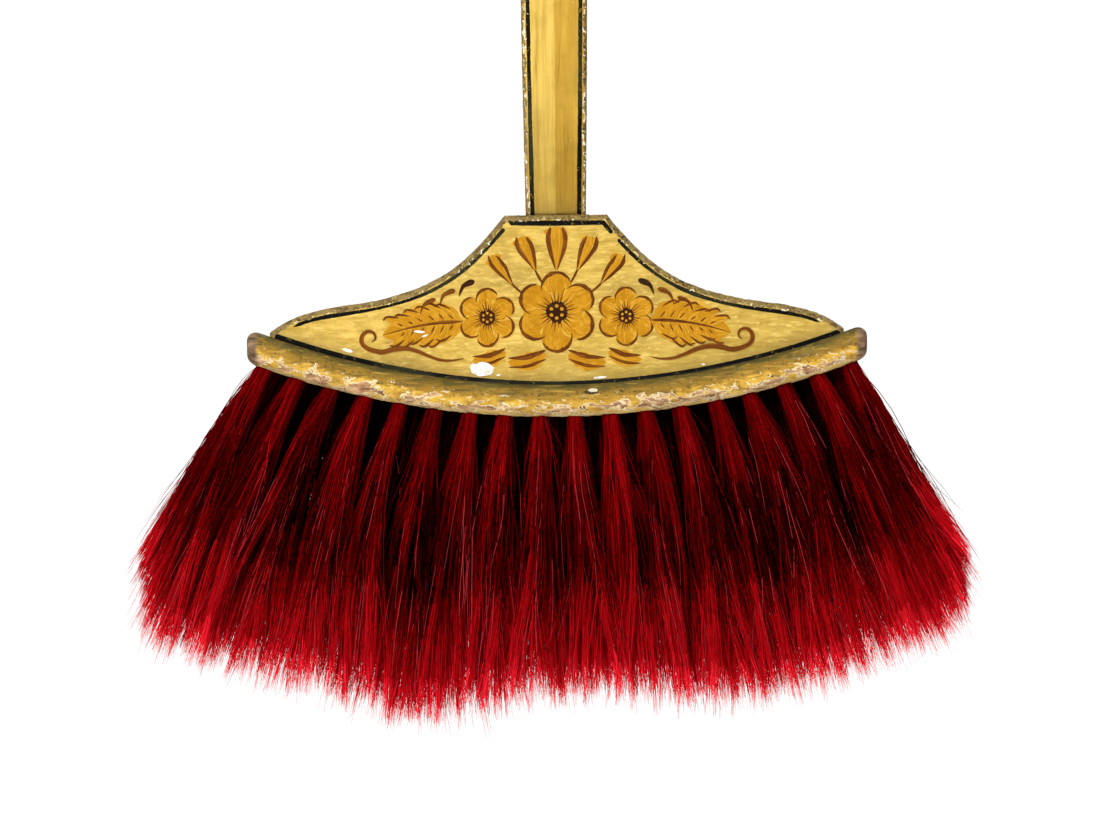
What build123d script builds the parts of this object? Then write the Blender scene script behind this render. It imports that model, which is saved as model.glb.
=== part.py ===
"""A long-handled hair broom, as its separate pieces, in millimetres.

+Z is up, the painted front faces -Y, and the origin is under the middle of the hair, level with the tips.
A fan-shaped head board stands on a curved rail. The rail is drilled with three rows of blind holes, and each
hole holds one knot of hair: its butt is whipped with thread and bedded on pitch. Screws driven up between the
knots hold the rail to the board, and the handle's tenon is held in the board's mortise by two screws from
behind.
"""

import math
import os

from build123d import *

# The whole broom
overall_height = 1150.0

# The curve that the rail, the board's foot and the hair tips all follow: arcs about one level axis
rail_outer_radius = 359.5
rail_height = 13.0
rail_inner_radius = rail_outer_radius - rail_height
hair_length = 119.0
tip_radius = rail_outer_radius + hair_length

# Rail
rail_length = 254.0
rail_depth = 34.0
rail_end_top_round = 5.5
rail_end_foot_round = 2.0
rail_sweep = 50.0  # degrees turned by the bead before its ends are cut to length

# Hair knots: three rows, the middle one half a pitch out of step
front_row_count = 18
middle_row_count = front_row_count - 1
knot_pitch = 2.29  # degrees about the arc centre
row_spacing = 9.5
row_spread_at_tips = 20.0
splay = 1.12  # how much further out a knot points than the rail's own radius
hole_radius = 3.1
hole_depth = 7.0
knot_radius = 2.6
mouth_size = 5.9
neck_distance = 14.0
neck_width = 10.2
neck_depth = 9.2
waist_distance = 32.0
waist_width = 14.9
waist_depth = 11.7
tip_width = 19.1
tip_depth = 19.4
free_hair_round = 0.32  # corner radius of a knot's section, as a share of its narrower side
plug_thickness = 1.2
binding_height = 3.0

row_lean = math.degrees(math.atan2(row_spread_at_tips - row_spacing, hair_length))
tip_dip = tip_depth / 2 * math.sin(math.radians(row_lean))
arc_centre_height = tip_radius + tip_dip

# Head board
board_thickness = 20.0
board_top_above_arc = 276.7  # from the arc centre down to the board's top
board_top = arc_centre_height - board_top_above_arc
board_edge_chamfer = 1.2

# The board's right half outline, measured out from the middle and down from the top
shoulder_points = ((21.0, 0.0), (30.2, 10.8), (50.0, 26.4), (83.0, 36.0), (106.4, 40.9), (117.8, 47.5))
shoulder_start_slope = (1.0, -1.16)
shoulder_end_slope = (1.0, -0.85)

# Handle and its tenon
handle_stations = (  # height above the board's top, half width
    (0.0, 12.45),
    (88.0, 13.65),
    (280.0, 15.0),
    (500.0, 14.3),
    (740.0, 12.6),
    (overall_height - board_top, 11.4),
)
handle_ridge_half_thickness = 7.5
handle_edge_half_thickness = 6.2
handle_chamfer = 1.6
handle_end_round = 11.0
tenon_width = 18.0
tenon_thickness = 9.0
tenon_length = 30.0

# Hanging hole
hang_hole_radius = 4.0
hang_hole_below_top = 16.0

# Screws
screw_head_radius = 3.25
screw_head_angle = 90.0
screw_shank_radius = 1.6
screw_point_length = 3.0
screw_slot_width = 0.8
screw_slot_depth = 0.9
rail_screw_length = 24.0
rail_screw_columns = (2, 5, 12, 15)  # front-row places that the screws line up with
tenon_screw_length = 13.5
tenon_screw_drops = (9.0, 22.0)  # below the board's top


def outward(angle):
    """The unit vector from the arc centre towards the rail, turned by angle degrees towards +X from straight down."""
    a = math.radians(angle)
    return Vector(math.sin(a), 0, -math.cos(a))


arc_centre = Vector(0, 0, arc_centre_height)
depth_axis = Vector(0, 1, 0)


def row_angles(count):
    """Where a row's knots stand on the arc, in degrees from the middle."""
    return [(i - (count - 1) / 2) * knot_pitch for i in range(count)]


def knot_frame(angle, side):
    """A knot's mouth point on the rail, and its direction: side is -1 in the front row, 0 in the middle, 1 behind."""
    mouth = arc_centre + outward(angle) * rail_outer_radius + depth_axis * (side * row_spacing)
    lean = math.radians(side * row_lean)
    direction = outward(angle * splay) * math.cos(lean) + depth_axis * math.sin(lean)
    return mouth, direction


def turning_plane(base, direction):
    """A sketch plane whose local Y runs along direction from base, for a profile that turns about it."""
    across = direction.cross(depth_axis).normalized()
    return Plane(origin=base, x_dir=across, z_dir=across.cross(direction))


rows = {
    "front": (front_row_count, -1),
    "middle": (middle_row_count, 0),
    "back": (front_row_count, 1),
}
knot_frames = {
    f"{row}_tuft_{i + 1:02d}": knot_frame(angle, side)
    for row, (count, side) in rows.items()
    for i, angle in enumerate(row_angles(count))
}
rail_screw_frames = [
    (arc_centre + outward(row_angles(front_row_count)[i]) * rail_outer_radius,
     -outward(row_angles(front_row_count)[i]))
    for i in rail_screw_columns
]
tenon_screw_frames = [
    (Vector(0, board_thickness / 2, board_top - drop), Vector(0, -1, 0)) for drop in tenon_screw_drops
]


def screw_plane(base, direction):
    """A sketch plane whose local Y runs along a screw, into the wood, from the middle of its head."""
    across = Vector(1, 0, 0) if abs(direction.Y) > 0.5 else Vector(0, 1, 0)
    return Plane(origin=base, x_dir=across, z_dir=across.cross(direction))


def screw_profile(length):
    """Half of a countersunk screw's section: the head is at local Y = 0 and the point at Y = length."""
    head_depth = (screw_head_radius - screw_shank_radius) / math.tan(math.radians(screw_head_angle / 2))
    return (
        (0, 0),
        (screw_head_radius, 0),
        (screw_shank_radius, head_depth),
        (screw_shank_radius, length - screw_point_length),
        (0, length),
    )


# ---------------------------------------------------------------- rail
with BuildPart() as tuft_rail:
    start = math.radians(rail_sweep / 2)
    bead_plane = Plane(
        origin=arc_centre, x_dir=(0, 1, 0), z_dir=(math.cos(start), 0, math.sin(start))
    )
    with BuildSketch(bead_plane):
        with Locations((0, -(rail_inner_radius + rail_height / 2))):
            SlotOverall(rail_depth, rail_height)
    revolve(axis=Axis(arc_centre, depth_axis), revolution_arc=rail_sweep)
    # cut to length, with the ends rounded over at the top
    half = rail_length / 2
    foot_z = arc_centre_height - math.sqrt(rail_outer_radius**2 - half**2)
    top_z = arc_centre_height - math.sqrt(rail_inner_radius**2 - half**2)
    with BuildSketch(Plane.XZ):
        with BuildLine():
            ThreePointArc(
                (-half, foot_z), (0, arc_centre_height - rail_outer_radius), (half, foot_z)
            )
            Line((half, foot_z), (half, top_z))
            ThreePointArc(
                (half, top_z), (0, arc_centre_height - rail_inner_radius), (-half, top_z)
            )
            Line((-half, top_z), (-half, foot_z))
        make_face()
        fillet(vertices().sort_by(Axis.Y)[-2:], radius=rail_end_top_round)
        fillet([v for v in vertices() if abs(v.X) > half - 0.1 and v.Y < foot_z + 0.1], radius=rail_end_foot_round)
    extrude(amount=rail_depth, both=True, mode=Mode.INTERSECT)
    # one blind hole for each knot
    for mouth, direction in knot_frames.values():
        with BuildSketch(turning_plane(mouth, direction)):
            with BuildLine():
                Polyline(
                    (0, -hole_depth),
                    (hole_radius, -hole_depth),
                    (hole_radius, rail_height / 2),
                    (0, rail_height / 2),
                    close=True,
                )
            make_face()
        revolve(axis=Axis(mouth, direction), mode=Mode.SUBTRACT)
    # screw holes
    for base, direction in rail_screw_frames:
        with BuildSketch(screw_plane(base, direction)):
            with BuildLine():
                Polyline(*screw_profile(rail_screw_length), close=True)
            make_face()
        revolve(axis=Axis(base, direction), mode=Mode.SUBTRACT)
tuft_rail.part.label = "tuft_rail"

# ---------------------------------------------------------------- head board
with BuildPart() as head_board:
    with BuildSketch(Plane.XZ):
        with BuildLine():
            shoulder = [(x, board_top - drop) for x, drop in shoulder_points]
            tip_x, tip_z = shoulder[-1]
            foot_at_tip = arc_centre_height - math.sqrt(rail_inner_radius**2 - tip_x**2)
            Line((0, board_top), shoulder[0])
            Spline(*shoulder, tangents=(shoulder_start_slope, shoulder_end_slope))
            Line((tip_x, tip_z), (tip_x, foot_at_tip))
            half_angle = math.asin(tip_x / rail_inner_radius) / 2
            ThreePointArc(
                (tip_x, foot_at_tip),
                (
                    rail_inner_radius * math.sin(half_angle),
                    arc_centre_height - rail_inner_radius * math.cos(half_angle),
                ),
                (0, arc_centre_height - rail_inner_radius),
            )
            Line((0, arc_centre_height - rail_inner_radius), (0, board_top))
        make_face()
        mirror(about=Plane.YZ)
    extrude(amount=board_thickness / 2, both=True)
    rim = [
        e
        for face in (faces().sort_by(Axis.Y)[0], faces().sort_by(Axis.Y)[-1])
        for e in face.edges()
        if (e @ 0.5).Z > arc_centre_height - math.sqrt(rail_inner_radius**2 - (e @ 0.5).X ** 2) + 2
    ]
    chamfer(rim, length=board_edge_chamfer)
    # mortise for the handle's tenon
    with Locations((0, 0, board_top)):
        Box(
            tenon_width,
            tenon_thickness,
            tenon_length,
            align=(Align.CENTER, Align.CENTER, Align.MAX),
            mode=Mode.SUBTRACT,
        )
    for base, direction in rail_screw_frames:
        with BuildSketch(screw_plane(base, direction)):
            with BuildLine():
                Polyline(*screw_profile(rail_screw_length), close=True)
            make_face()
        revolve(axis=Axis(base, direction), mode=Mode.SUBTRACT)
    for base, direction in tenon_screw_frames:
        with BuildSketch(screw_plane(base, direction)):
            with BuildLine():
                Polyline(*screw_profile(tenon_screw_length), close=True)
            make_face()
        revolve(axis=Axis(base, direction), mode=Mode.SUBTRACT)
head_board.part.label = "head_board"

# ---------------------------------------------------------------- handle
with BuildPart() as handle:
    for height, half_width in handle_stations:
        flat = half_width - handle_chamfer
        side = handle_edge_half_thickness - handle_chamfer
        with BuildSketch(Plane.XY.offset(board_top + height)):
            with BuildLine():
                Polyline(
                    (0, -handle_ridge_half_thickness),
                    (flat, -handle_edge_half_thickness),
                    (half_width, -side),
                    (half_width, side),
                    (flat, handle_edge_half_thickness),
                    (0, handle_ridge_half_thickness),
                    (-flat, handle_edge_half_thickness),
                    (-half_width, side),
                    (-half_width, -side),
                    (-flat, -handle_edge_half_thickness),
                    close=True,
                )
            make_face()
    loft()
    # the top end is rounded in the front view
    with BuildSketch(Plane.XZ):
        with Locations((0, overall_height)):
            Rectangle(
                4 * handle_end_round,
                overall_height,
                align=(Align.CENTER, Align.MAX),
            )
        fillet(vertices().group_by(Axis.Y)[-1], radius=2 * handle_end_round - 0.5)
    extrude(amount=rail_depth, both=True, mode=Mode.INTERSECT)
    with Locations((0, 0, board_top)):
        Box(
            tenon_width,
            tenon_thickness,
            tenon_length,
            align=(Align.CENTER, Align.CENTER, Align.MAX),
        )
    # hanging hole
    with BuildSketch(Plane.XZ):
        with Locations((0, overall_height - hang_hole_below_top)):
            Circle(hang_hole_radius)
    extrude(amount=rail_depth, both=True, mode=Mode.SUBTRACT)
    for base, direction in tenon_screw_frames:
        with BuildSketch(screw_plane(base, direction)):
            with BuildLine():
                Polyline(*screw_profile(tenon_screw_length), close=True)
            make_face()
        revolve(axis=Axis(base, direction), mode=Mode.SUBTRACT)
handle.part.label = "handle"


# ---------------------------------------------------------------- screws
def slotted_screws(frames, length):
    """One countersunk slotted wood screw for each frame, as separate solids."""
    with BuildPart() as screws:
        for base, direction in frames:
            plane = screw_plane(base, direction)
            with BuildSketch(plane):
                with BuildLine():
                    Polyline(*screw_profile(length), close=True)
                make_face()
            revolve(axis=Axis(base, direction))
        for base, direction in frames:
            plane = screw_plane(base, direction)
            with BuildSketch(plane):
                Rectangle(2 * screw_head_radius, 2 * screw_slot_depth)
            extrude(amount=screw_slot_width / 2, both=True, mode=Mode.SUBTRACT)
    return screws.part


rail_screws = slotted_screws(rail_screw_frames, rail_screw_length)
rail_screws.label = "rail_screws"
tenon_screws = slotted_screws(tenon_screw_frames, tenon_screw_length)
tenon_screws.label = "tenon_screws"


# ---------------------------------------------------------------- hair knots and what holds them
def hair_knot(mouth, direction):
    """One knot of hair: a round whipped butt in its hole, and free hair that fills out to its trimmed end."""
    butt = hole_depth - plug_thickness
    across = direction.cross(depth_axis).normalized()
    # a leaning knot is a little longer, so that every tip ends on the trim arc
    reach = hair_length if abs(direction.Y) < 1e-6 else hair_length / math.cos(math.radians(row_lean))
    sections = (
        (0, mouth_size, mouth_size, 0.49),
        (neck_distance, neck_width, neck_depth, 0.42),
        (waist_distance, waist_width, waist_depth, free_hair_round),
        (reach, tip_width, tip_depth, free_hair_round),
    )
    with BuildPart() as knot:
        for distance, width, depth, roundness in sections:
            with BuildSketch(Plane(origin=mouth + direction * distance, x_dir=across, z_dir=direction)):
                RectangleRounded(width, depth, roundness * min(width, depth))
        loft(ruled=True)
        with BuildSketch(Plane(origin=mouth - direction * butt, x_dir=across, z_dir=direction)):
            Circle(knot_radius)
        extrude(amount=butt)
    return knot.part


def rings(inner, outer, bottom, height):
    """A ring, or a disc where inner is 0, round every knot's axis, starting bottom above the hole's mouth."""
    with BuildPart() as group:
        for mouth, direction in knot_frames.values():
            with BuildSketch(turning_plane(mouth, direction)):
                with BuildLine():
                    Polyline(
                        (inner, bottom),
                        (outer, bottom),
                        (outer, bottom + height),
                        (inner, bottom + height),
                        close=True,
                    )
                make_face()
            revolve(axis=Axis(mouth, direction))
    return group.part


pitch_plugs = rings(0, hole_radius, -hole_depth, plug_thickness)
pitch_plugs.label = "pitch_plugs"
knot_bindings = rings(knot_radius, hole_radius, plug_thickness - hole_depth, binding_height)
knot_bindings.label = "knot_bindings"

pieces = [tuft_rail.part, head_board.part, handle.part, rail_screws, tenon_screws, pitch_plugs, knot_bindings]
for name, (mouth, direction) in knot_frames.items():
    tuft = hair_knot(mouth, direction)
    tuft.label = name
    pieces.append(tuft)

# ---------------------------------------------------------------- export
os.makedirs("parts", exist_ok=True)
for piece in pieces:
    export_step(piece, f"parts/{piece.label}.step")
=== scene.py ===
"""Looks for the long-handled hair broom: painted wood, hand-set red hair and the flowers on its head.

Lengths in the code are millimetres in the row frame; MM turns them into metres where a mesh is made.
"""

import math

import bmesh
import bpy
import numpy as np
from mathutils import Matrix, Vector
from mathutils.kdtree import KDTree


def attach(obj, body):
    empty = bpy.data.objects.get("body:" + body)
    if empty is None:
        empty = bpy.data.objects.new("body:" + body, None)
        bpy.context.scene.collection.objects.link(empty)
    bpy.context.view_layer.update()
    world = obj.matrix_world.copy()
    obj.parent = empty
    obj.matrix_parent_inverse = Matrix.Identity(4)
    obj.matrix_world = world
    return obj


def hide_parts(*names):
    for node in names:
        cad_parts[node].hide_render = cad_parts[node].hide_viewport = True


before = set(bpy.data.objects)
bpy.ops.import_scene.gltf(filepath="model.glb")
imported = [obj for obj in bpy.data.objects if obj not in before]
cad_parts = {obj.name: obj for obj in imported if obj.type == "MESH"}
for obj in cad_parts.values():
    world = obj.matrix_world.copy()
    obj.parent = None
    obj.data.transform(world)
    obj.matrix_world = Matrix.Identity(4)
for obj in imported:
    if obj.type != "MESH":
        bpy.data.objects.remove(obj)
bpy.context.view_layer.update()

MM = 0.001

# The broom's driving sizes, as in the CAD
OVERALL = 1150.0
R_FOOT = 359.5
R_TOP = 346.5
R_MID = (R_FOOT + R_TOP) / 2
RAIL_HALF = 127.0
RAIL_BEAD = 6.5
RAIL_FLAT = 10.5
HAIR = 119.0
PITCH = 2.29
ROW_Y = 9.5
ROW_Y_TIP = 20.0
SPLAY = 1.12
LEAN = math.degrees(math.atan2(ROW_Y_TIP - ROW_Y, HAIR))
ARC_Z = R_FOOT + HAIR + 9.7 * math.sin(math.radians(LEAN))
BOARD_TOP = ARC_Z - 276.7
BOARD_HALF = 10.0
HOLE_R = 4.0
HOLE_Z = OVERALL - 16.0
# the handle's half width, by the height above the board
STATIONS = ((0.0, 12.45), (88.0, 13.65), (280.0, 15.0), (500.0, 14.3), (740.0, 12.6),
            (OVERALL - BOARD_TOP, 11.4))


# ------------------------------------------------------------------ mesh helpers
def link(name, data):
    """A new object in the scene."""
    o = bpy.data.objects.new(name, data)
    bpy.context.scene.collection.objects.link(o)
    return o


def make_mesh(name, verts, faces, materials, face_material=None, attributes=None):
    """A smooth mesh object from arrays: verts in millimetres, faces all quads or all triangles."""
    faces = np.asarray(faces, np.int32)
    n, k = faces.shape
    me = bpy.data.meshes.new(name)
    me.vertices.add(len(verts))
    me.vertices.foreach_set("co", (np.asarray(verts, np.float32) * MM).ravel())
    me.loops.add(n * k)
    me.loops.foreach_set("vertex_index", faces.ravel())
    me.polygons.add(n)
    me.polygons.foreach_set("loop_start", np.arange(0, n * k, k, dtype=np.int32))
    for m in materials:
        me.materials.append(m)
    if face_material is not None:
        me.polygons.foreach_set("material_index", np.asarray(face_material, np.int32))
    me.update(calc_edges=True)
    me.validate()
    for key, values in (attributes or {}).items():
        me.attributes.new(key, "FLOAT", "POINT").data.foreach_set("value", values.astype(np.float32))
    me.polygons.foreach_set("use_smooth", np.full(len(me.polygons), True))
    return link(name, me)


def coordinates(mesh):
    """A mesh's vertices in millimetres."""
    co = np.empty(len(mesh.vertices) * 3)
    mesh.vertices.foreach_get("co", co)
    return co.reshape(-1, 3) / MM


def grid_quads(rows, cols, flip=False):
    """Quads of a rows by cols sheet of vertices, numbered row by row."""
    i, j = np.meshgrid(np.arange(rows - 1), np.arange(cols - 1), indexing="ij")
    a = i * cols + j
    q = np.stack([a, a + 1, a + cols + 1, a + cols], -1).reshape(-1, 4)
    return q[:, ::-1] if flip else q


def tube_quads(rings, around):
    """Quads of a tube of rings, with around vertices in each."""
    i, j = np.meshgrid(np.arange(rings - 1), np.arange(around), indexing="ij")
    a, b = i * around + j, i * around + (j + 1) % around
    return np.stack([a, b, b + around, a + around], -1).reshape(-1, 4)


class Patches:
    """Patches of vertices and faces, with values for each patch's vertices or faces, joined into one mesh."""

    def __init__(self):
        self.verts, self.faces, self.values = [], [], {}
        self.count = 0

    def add(self, verts, faces, **values):
        self.verts.append(np.reshape(verts, (-1, 3)))
        self.faces.append(faces + self.count)
        self.count += len(self.verts[-1])
        for key, value in values.items():
            self.values.setdefault(key, []).append(np.ravel(value))

    def joined(self):
        values = {key: np.concatenate(value) for key, value in self.values.items()}
        return np.concatenate(self.verts), np.concatenate(self.faces), values


def closing(points):
    """For a strip of so many rows: each row's place, and a value of 0 at both ends and 1 well inside."""
    s = np.linspace(0, 1, points)
    return s, np.clip(np.sin(np.pi * s) * 4, 0, 1)


def merge_seams(o, distance=0.004):
    bm = bmesh.new()
    bm.from_mesh(o.data)
    bmesh.ops.remove_doubles(bm, verts=bm.verts, dist=distance * MM)
    bm.to_mesh(o.data)
    bm.free()


def wobble(places, size, seed):
    """Smooth random values, about -1 to 1, with features about size across. Places is a list of coordinate
    arrays of one shape, which is also the shape of the values."""
    waves = 14
    r = np.random.default_rng(seed)
    points = np.stack([np.ravel(p) for p in places], -1)
    k = r.normal(size=(len(places), waves)) * (2 * math.pi / size) / 1.6
    values = np.cos(points @ k + r.uniform(0, 2 * math.pi, waves)).sum(1) / math.sqrt(waves / 2) / 1.6
    return values.reshape(np.shape(places[0]))


# ------------------------------------------------------------------ node helpers
class Nodes:
    """Short names for building a material's nodes."""

    def __init__(self, name, roughness=0.5, specular=0.5):
        self.mat = bpy.data.materials.new(name)
        self.mat.use_nodes = True
        self.tree = self.mat.node_tree
        self.bsdf = self.tree.nodes["Principled BSDF"]
        self.bsdf.inputs["Roughness"].default_value = roughness
        self.bsdf.inputs["Specular IOR Level"].default_value = specular

    def put(self, socket, value):
        if isinstance(value, bpy.types.NodeSocket):
            self.tree.links.new(value, socket)
        elif isinstance(value, tuple) and len(value) == 3 and socket.type == "RGBA":
            socket.default_value = (*value, 1.0)
        else:
            socket.default_value = value

    def add(self, kind, inputs=None, **props):
        n = self.tree.nodes.new(kind)
        for key, value in props.items():
            setattr(n, key, value)
        for key, value in (inputs or {}).items():
            self.put(n.inputs[key], value)
        return n

    def place(self, scale=(1, 1, 1), offset=(0, 0, 0)):
        """Object position in millimetres, stretched by scale."""
        c = self.add("ShaderNodeTexCoord")
        m = self.add("ShaderNodeMapping", {"Vector": c.outputs["Object"]})
        m.inputs["Scale"].default_value = [s / MM for s in scale]
        m.inputs["Location"].default_value = offset
        return m.outputs["Vector"]

    def noise(self, vector, size, detail=3.0, rough=0.55, distortion=0.0):
        """0 to 1, with features about size millimetres across."""
        n = self.add("ShaderNodeTexNoise", {"Vector": vector, "Scale": 1.0 / size, "Detail": detail,
                                            "Roughness": rough, "Distortion": distortion})
        return n.outputs["Fac"]

    def attribute(self, name):
        return self.add("ShaderNodeAttribute", attribute_name=name).outputs["Fac"]

    def math(self, op, a, b):
        n = self.add("ShaderNodeMath", {0: a, 1: b, 2: 0.0}, operation=op)
        return n.outputs[0]

    def plus(self, a, b):
        return self.math("ADD", a, b)

    def minus(self, a, b):
        return self.math("SUBTRACT", a, b)

    def times(self, a, b):
        return self.math("MULTIPLY", a, b)

    def inverse(self, value):
        return self.minus(1.0, value)

    def swing(self, noise, amount):
        """A noise value moved to lie on both sides of 0, and scaled."""
        return self.times(self.minus(noise, 0.5), amount)

    def step(self, value, low, high):
        """Rises smoothly from 0 at low to 1 at high."""
        n = self.add("ShaderNodeMapRange", {"Value": value, "From Min": low, "From Max": high},
                     interpolation_type="SMOOTHSTEP")
        return n.outputs["Result"]

    def ramp(self, value, stops):
        n = self.add("ShaderNodeValToRGB", {"Fac": value})
        e = n.color_ramp.elements
        while len(e) < len(stops):
            e.new(0.5)
        for element, (at, colour) in zip(e, stops):
            element.position = at
            element.color = (*colour, 1.0)
        return n.outputs["Color"]

    def mix(self, fac, a, b, blend="MIX"):
        n = self.add("ShaderNodeMix", data_type="RGBA", blend_type=blend)
        self.put(n.inputs[0], fac)
        self.put(n.inputs[6], a)
        self.put(n.inputs[7], b)
        return n.outputs[2]

    def stain(self, base, value, low, high, colour, share=1.0):
        """Lays a colour over base where value rises from low to high."""
        fac = self.step(value, low, high)
        return self.mix(fac if share == 1.0 else self.times(fac, share), base, colour)

    def finish(self, colour=None, rough=None, height=None, depth=0.1):
        if colour is not None:
            self.put(self.bsdf.inputs["Base Color"], colour)
        if rough is not None:
            self.put(self.bsdf.inputs["Roughness"], rough)
        if height is not None:
            b = self.add("ShaderNodeBump", {"Height": height, "Strength": 0.6, "Distance": depth * MM})
            self.put(self.bsdf.inputs["Normal"], b.outputs["Normal"])
        return self.mat


def plain(name, colour, roughness, specular):
    n = Nodes(name, roughness, specular)
    n.put(n.bsdf.inputs["Base Color"], colour)
    return n.mat


# ------------------------------------------------------------------ paint
OCHRE_LIGHT = (0.715, 0.485, 0.108)
OCHRE = (0.565, 0.367, 0.068)
OCHRE_DARK = (0.34, 0.205, 0.026)
OLIVE = (0.16, 0.115, 0.022)
BLACK = (0.002, 0.002, 0.0014)
GESSO = (0.80, 0.72, 0.52)
YELLOW = (0.84, 0.52, 0.07)


class PaintedWood(Nodes):
    """Aged ochre paint with a black stripe and a worn rim. The mesh gives, in millimetres, edge: how far inside
    the outline, line and quirk: how far inside the stripe and the line along the foot, and foot: how far from
    the dirty end."""

    def __init__(self, name, grain, dirt, rubbing, rim, ridged):
        super().__init__(name, 0.46, 0.09)
        self.dirt, self.ridged = dirt, ridged
        self.long, self.even = self.place(grain), self.place()
        self.fine = self.noise(self.long, 0.7, 4.0, 0.7)
        self.mottle = self.noise(self.even, 9.0, 4.0, 0.6, 0.4)
        self.blotch = self.noise(self.even, 30.0, 3.0, 0.5)
        self.chip = self.noise(self.even, 1.9, 3.5, 0.66, 0.6)
        self.edge, self.foot = self.attribute("edge"), self.attribute("foot")
        colour, worn = self.rim(self.stripe(self.ochre(), rubbing), rim)
        # small chips down to the white ground, away from the rim too
        small = self.times(self.step(self.noise(self.even, 1.5, 3.0, 0.6, 0.8), 0.715, 0.73),
                           self.inverse(self.step(self.edge, 5.0, 12.0)))
        height = self.plus(self.times(self.fine, 0.35), self.times(self.inverse(worn), 0.8))
        height = self.minus(height, self.times(small, 0.7))
        rough = self.plus(0.36, self.times(self.plus(worn, self.mottle), 0.16))
        self.finish(self.mix(small, colour, GESSO), rough, height, 0.18)

    def ochre(self):
        """The ochre ground: streaked along the grain, mottled, grimy at the foot, and darker to the right with
        painted shade.
        """
        streak = self.noise(self.long, 2.2, 5.0, 0.62, 0.35)
        ochres = [(0.26, OCHRE_DARK), (0.42, OCHRE), (0.64, OCHRE_LIGHT), (0.88, (0.82, 0.57, 0.15))]
        paint = self.ramp(streak, ochres)
        paint = self.stain(paint, self.mottle, 0.46, 0.70, (0.44, 0.29, 0.045), 0.55 * self.dirt)
        paint = self.stain(paint, self.fine, 0.58, 0.74, OLIVE, 0.55)
        paint = self.stain(paint, self.blotch, 0.50, 0.75, (0.30, 0.20, 0.05), 0.45 * self.dirt)
        paint = self.stain(paint, self.noise(self.even, 0.8, 2.0, 0.5), 0.72, 0.78, (0.10, 0.06, 0.02), 0.8)
        x = self.add("ShaderNodeSeparateXYZ", {"Vector": self.even}).outputs["X"]
        if self.ridged:
            # painted shade: the right-hand slope of the ridge is painted darker and more golden, on the side
            # turned from the light
            right = self.step(self.plus(x, self.times(self.mottle, 0.6)), -0.1, 0.7)
            paint = self.mix(self.times(right, 0.9), paint, (0.80, 0.70, 0.42), "MULTIPLY")
            # dirt with painted shade: the handle is painted darker towards its foot, over its lowest 60 mm,
            # where it meets the board
            low = self.inverse(self.step(self.foot, 6.0, 60.0))
            paint = self.mix(low, paint, (0.66, 0.64, 0.54), "MULTIPLY")
        else:
            # painted shade: the board is painted darker towards its right end, where the light falls off
            right = self.step(self.plus(x, self.times(self.mottle, 40.0)), -40.0, 90.0)
            paint = self.mix(self.times(right, 0.8), paint, (0.80, 0.80, 0.72), "MULTIPLY")
            pore = self.noise(self.place((0.32, 1, 1)), 1.3, 4.0, 0.66, 0.3)
            paint = self.stain(paint, pore, 0.50, 0.70, (0.86, 0.63, 0.20), 0.55)
            deep = self.inverse(self.step(pore, 0.32, 0.45))
            paint = self.mix(self.times(deep, 0.65), paint, (0.40, 0.27, 0.07))
        grime = self.inverse(self.step(self.plus(self.foot, self.times(self.mottle, 6.0)), 2.5, 12.0))
        return self.mix(self.times(grime, 0.55 * self.dirt), paint, (0.22, 0.15, 0.04))

    def stripe(self, paint, rubbing):
        """The black stripe and the line along the foot, rubbed through here and there."""
        on = self.step(self.plus(self.attribute("line"), self.swing(self.chip, 0.55)), 0.0, 0.14)
        quirk = self.step(self.plus(self.attribute("quirk"), self.swing(self.chip, 0.5)), 0.0, 0.12)
        kept = self.inverse(self.times(self.step(self.chip, 0.60, 0.68), rubbing))
        black = self.mix(self.times(self.step(self.blotch, 0.46, 0.60), 0.7), BLACK, (0.030, 0.030, 0.013))
        return self.mix(self.times(self.math("MAXIMUM", on, quirk), kept), paint, black)

    def rim(self, paint, wide):
        """The rim: paint worn to brown wood, with a ring of white ground where the paint breaks off."""
        rub = self.plus(self.plus(self.edge, self.swing(self.chip, 3.0)), self.swing(self.mottle, 3.2))
        worn = self.inverse(self.step(rub, wide - 0.05, wide + 0.12))
        ring = self.times(worn, self.step(rub, wide - 0.42, wide - 0.30))
        white = 0.50 if self.ridged else 0.57
        ring = self.times(ring, self.step(self.noise(self.even, 2.6, 2.0, 0.5), white, white + 0.06))
        wood = self.ramp(self.noise(self.long, 2.4, 4.0, 0.65), [
            (0.32, (0.046, 0.028, 0.012)), (0.46, (0.130, 0.082, 0.031)),
            (0.58, (0.228, 0.146, 0.060)), (0.74, (0.34, 0.22, 0.112))])
        flakes = self.noise(self.even, 1.3, 3.0, 0.6, 0.3)
        dents = self.noise(self.even, 1.0, 3.0, 0.6, 0.3)
        wood = self.stain(wood, flakes, 0.49, 0.54, (0.255, 0.188, 0.046))
        wood = self.stain(wood, dents, 0.60, 0.66, (0.028, 0.020, 0.008))
        wood = self.stain(wood, flakes, *((0.645, 0.67) if self.ridged else (0.69, 0.71)), GESSO)
        return self.mix(ring, self.mix(worn, paint, wood), GESSO), worn


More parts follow.
